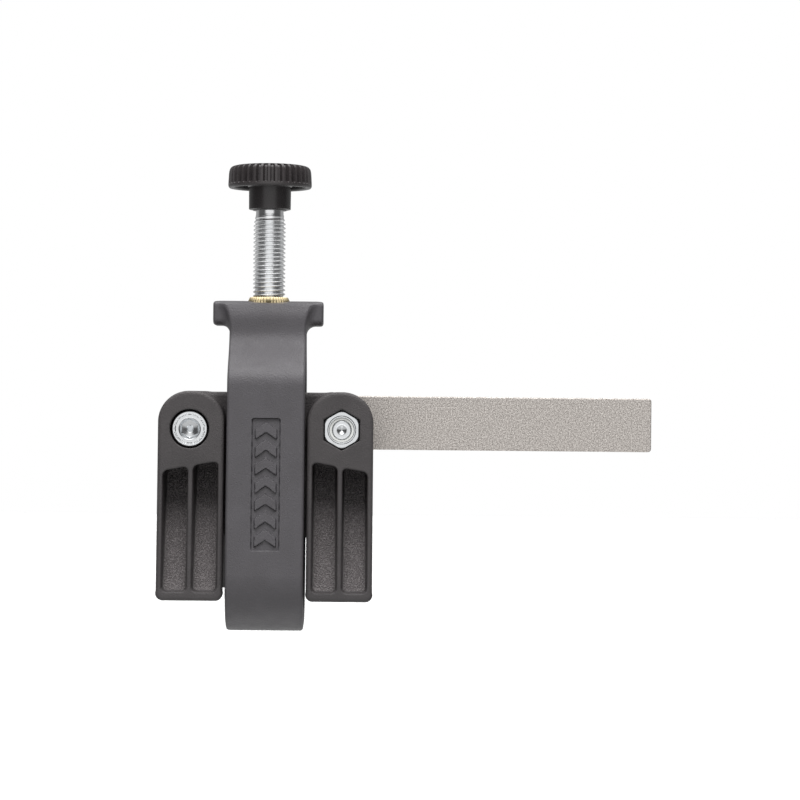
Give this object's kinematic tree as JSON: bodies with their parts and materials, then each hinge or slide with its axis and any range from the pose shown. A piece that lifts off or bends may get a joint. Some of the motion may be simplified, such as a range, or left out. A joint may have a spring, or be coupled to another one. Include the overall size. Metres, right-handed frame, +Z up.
{
  "type": "small-knife honing guide",
  "caption": "Clamp that holds a small knife by its handle for honing: a ribbed V saddle on a flat steel tongue, and a yoke that a knurled screw draws up round the handle.",
  "frame": {"origin": "on the tongue's front face, in the middle of the length that a jig clamps, 60 mm to the right of the clamp screw's axis", "axes": "+X along the tongue to its free end, +Y from the front to the rear, +Z up along the clamp screw to its knob"},
  "size_m": [0.1185, 0.0458, 0.1121],
  "materials": {
    "grey_plastic": "satin moulded nylon, dark grey",
    "black_plastic": "fine-grained moulded nylon, black",
    "knob_plastic": "smooth moulded plastic, black",
    "blasted_steel": "bead-blasted stainless steel",
    "zinc_plate": "bright zinc plate",
    "brass": "turned and knurled brass",
    "nylon": "natural nylon"
  },
  "bodies": {
    "saddle": {"front_jaw": "black_plastic", "rear_jaw": "black_plastic", "tongue": "blasted_steel", "left_bolt": "zinc_plate", "right_bolt": "zinc_plate", "left_nut": "zinc_plate", "right_nut": "zinc_plate", "left_nut_ring": "nylon", "right_nut_ring": "nylon"},
    "screw": {"clamp_screw": "zinc_plate", "knob": "knob_plastic"},
    "yoke": {"yoke": "grey_plastic", "threaded_insert": "brass"}
  },
  "joints": [
    {"name": "knob_turn", "type": "hinge", "parent": "saddle", "child": "screw", "pos_m": [-0.06, 0.002, 0.0068], "axis": [0, 0, -1], "range_deg": [-3060, 5760]},
    {"name": "yoke_slide", "type": "slide", "parent": "saddle", "child": "yoke", "axis": [0, 0, 1], "range_m": [-0.0085, 0.016]}
  ],
  "couplings": [
    {"joint": "yoke_slide", "follows": "knob_turn", "m_per_rad": 0.00015915}
  ]
}
